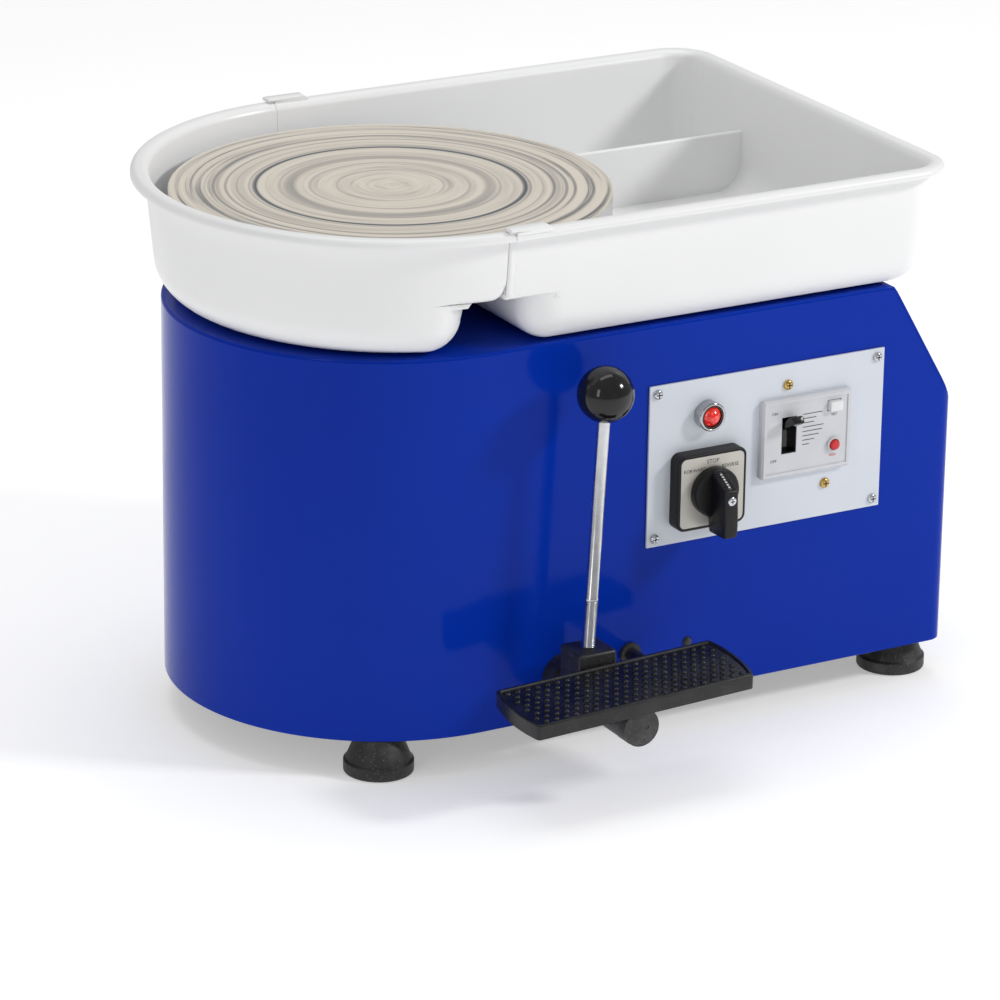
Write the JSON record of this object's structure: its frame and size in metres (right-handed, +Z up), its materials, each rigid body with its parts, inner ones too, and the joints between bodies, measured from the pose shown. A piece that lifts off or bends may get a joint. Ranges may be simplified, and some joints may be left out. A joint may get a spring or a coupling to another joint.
{
  "type": "pottery wheel",
  "caption": "Electric pottery wheel with a turning head in a two-part splash pan, a front control panel, and a hand lever and foot pedal on one pivot.",
  "frame": {"origin": "middle of the footprint at floor level", "axes": "+X towards the flat rear end, -Y towards the front face with the controls, +Z up along the wheel axis"},
  "size_m": [0.4514, 0.362, 0.3224],
  "materials": {
    "housing_paint": "gloss powder coat",
    "black_paint": "satin powder coat",
    "foot_rubber": "matt",
    "zinc_steel": "zinc plated",
    "ground_steel": "ground",
    "brass": "plated",
    "cast_iron": "painted casting",
    "head_aluminium": "turned, with dried slip",
    "aluminium": "turned",
    "pan_plastic": "semi-gloss white",
    "panel_paint": "satin pale grey",
    "chrome": "polished",
    "red_lens": "clear red",
    "black_gloss": "polished black",
    "black_plastic": "fine texture",
    "cream_face": "printed cream",
    "white_plastic": "moulded white",
    "red_plastic": "moulded red",
    "pad_rubber": "satin moulded",
    "bush_bronze": "sintered bronze",
    "board_green": "board and components"
  },
  "bodies": {
    "housing": {"side_wrap": "housing_paint", "top_deck": "housing_paint", "base_plate": "black_paint", "motor_body": "black_paint", "motor_bracket": "black_paint", "small_screw": "black_paint", "stop_bumper": "black_paint", "rubber_feet": "foot_rubber", "stop_grommet": "foot_rubber", "drive_belt": "foot_rubber", "base_screws": "zinc_steel", "foot_screws": "zinc_steel", "bearing_bolts": "zinc_steel", "motor_screws": "zinc_steel", "plate_screws": "zinc_steel", "pot_bracket": "zinc_steel", "upper_bearing": "ground_steel", "lower_bearing": "ground_steel", "breaker_screws": "brass", "bearing_housing": "cast_iron", "heat_sink": "aluminium", "control_plate": "panel_paint", "lamp_bezel": "chrome", "lamp_lens": "red_lens", "switch_base": "black_plastic", "switch_block": "black_plastic", "breaker_body": "black_plastic", "board_posts": "black_plastic", "cord_gland": "black_plastic", "potentiometer": "black_plastic", "switch_face": "cream_face", "breaker_bezel": "white_plastic", "pivot_bush": "bush_bronze", "controller_board": "board_green"},
    "wheel": {"wheel_head": "head_aluminium", "head_hub": "aluminium", "hub_screws": "zinc_steel", "main_shaft": "ground_steel", "circlip": "zinc_steel", "splash_collar": "foot_rubber", "driven_pulley": "aluminium"},
    "motor_rotor": {"motor_shaft": "ground_steel", "motor_pulley": "aluminium"},
    "front_pan": {"splash_pan_front": "pan_plastic"},
    "rear_pan": {"splash_pan_rear": "pan_plastic"},
    "direction_knob": {"switch_spindle": "ground_steel", "switch_knob": "black_plastic", "knob_screw": "zinc_steel"},
    "toggle": {"breaker_toggle": "black_plastic"},
    "test_key": {"test_button": "white_plastic"},
    "reset_key": {"reset_button": "red_plastic"},
    "pedal": {"pivot_shaft": "ground_steel", "friction_washer": "zinc_steel", "lever_block": "black_paint", "block_screws": "zinc_steel", "lever_rod": "zinc_steel", "ball_knob": "black_gloss", "pedal_pad": "pad_rubber", "pedal_bracket": "black_paint", "shaft_coupling": "ground_steel"}
  },
  "joints": [
    {"name": "wheel_spin", "type": "hinge", "parent": "housing", "child": "wheel", "pos_m": [-0.07925, 0.0325, 0.246], "axis": [0, 0, 1], "continuous": true},
    {"name": "motor_spin", "type": "hinge", "parent": "housing", "child": "motor_rotor", "pos_m": [0.11075, 0.0325, 0.114], "axis": [0, 0, 1], "continuous": true},
    {"name": "front_pan_slide", "type": "slide", "parent": "housing", "child": "front_pan", "axis": [-1, 0, 0], "range_m": [0, 0.16]},
    {"name": "rear_pan_slide", "type": "slide", "parent": "housing", "child": "rear_pan", "axis": [1, 0, 0], "range_m": [0, 0.16]},
    {"name": "direction_turn", "type": "hinge", "parent": "housing", "child": "direction_knob", "pos_m": [0.05525, -0.102, 0.1465], "axis": [0, -1, 0], "range_deg": [-60, 60]},
    {"name": "breaker_throw", "type": "hinge", "parent": "housing", "child": "toggle", "pos_m": [0.10875, -0.0855, 0.169], "axis": [1, 0, 0], "range_deg": [0, 60]},
    {"name": "test_press", "type": "slide", "parent": "housing", "child": "test_key", "axis": [0, 1, 0], "range_m": [0, 0.002], "stiffness_N_per_m": 250, "springref_m": -0.001},
    {"name": "reset_press", "type": "slide", "parent": "housing", "child": "reset_key", "axis": [0, 1, 0], "range_m": [0, 0.002], "stiffness_N_per_m": 250, "springref_m": -0.001},
    {"name": "pedal_rock", "type": "hinge", "parent": "housing", "child": "pedal", "pos_m": [-0.03325, -0.1175, 0.0466], "axis": [0, -1, 0], "range_deg": [0, 25]}
  ],
  "couplings": [
    {"joint": "motor_spin", "follows": "wheel_spin", "ratio": 6.8182}
  ]
}
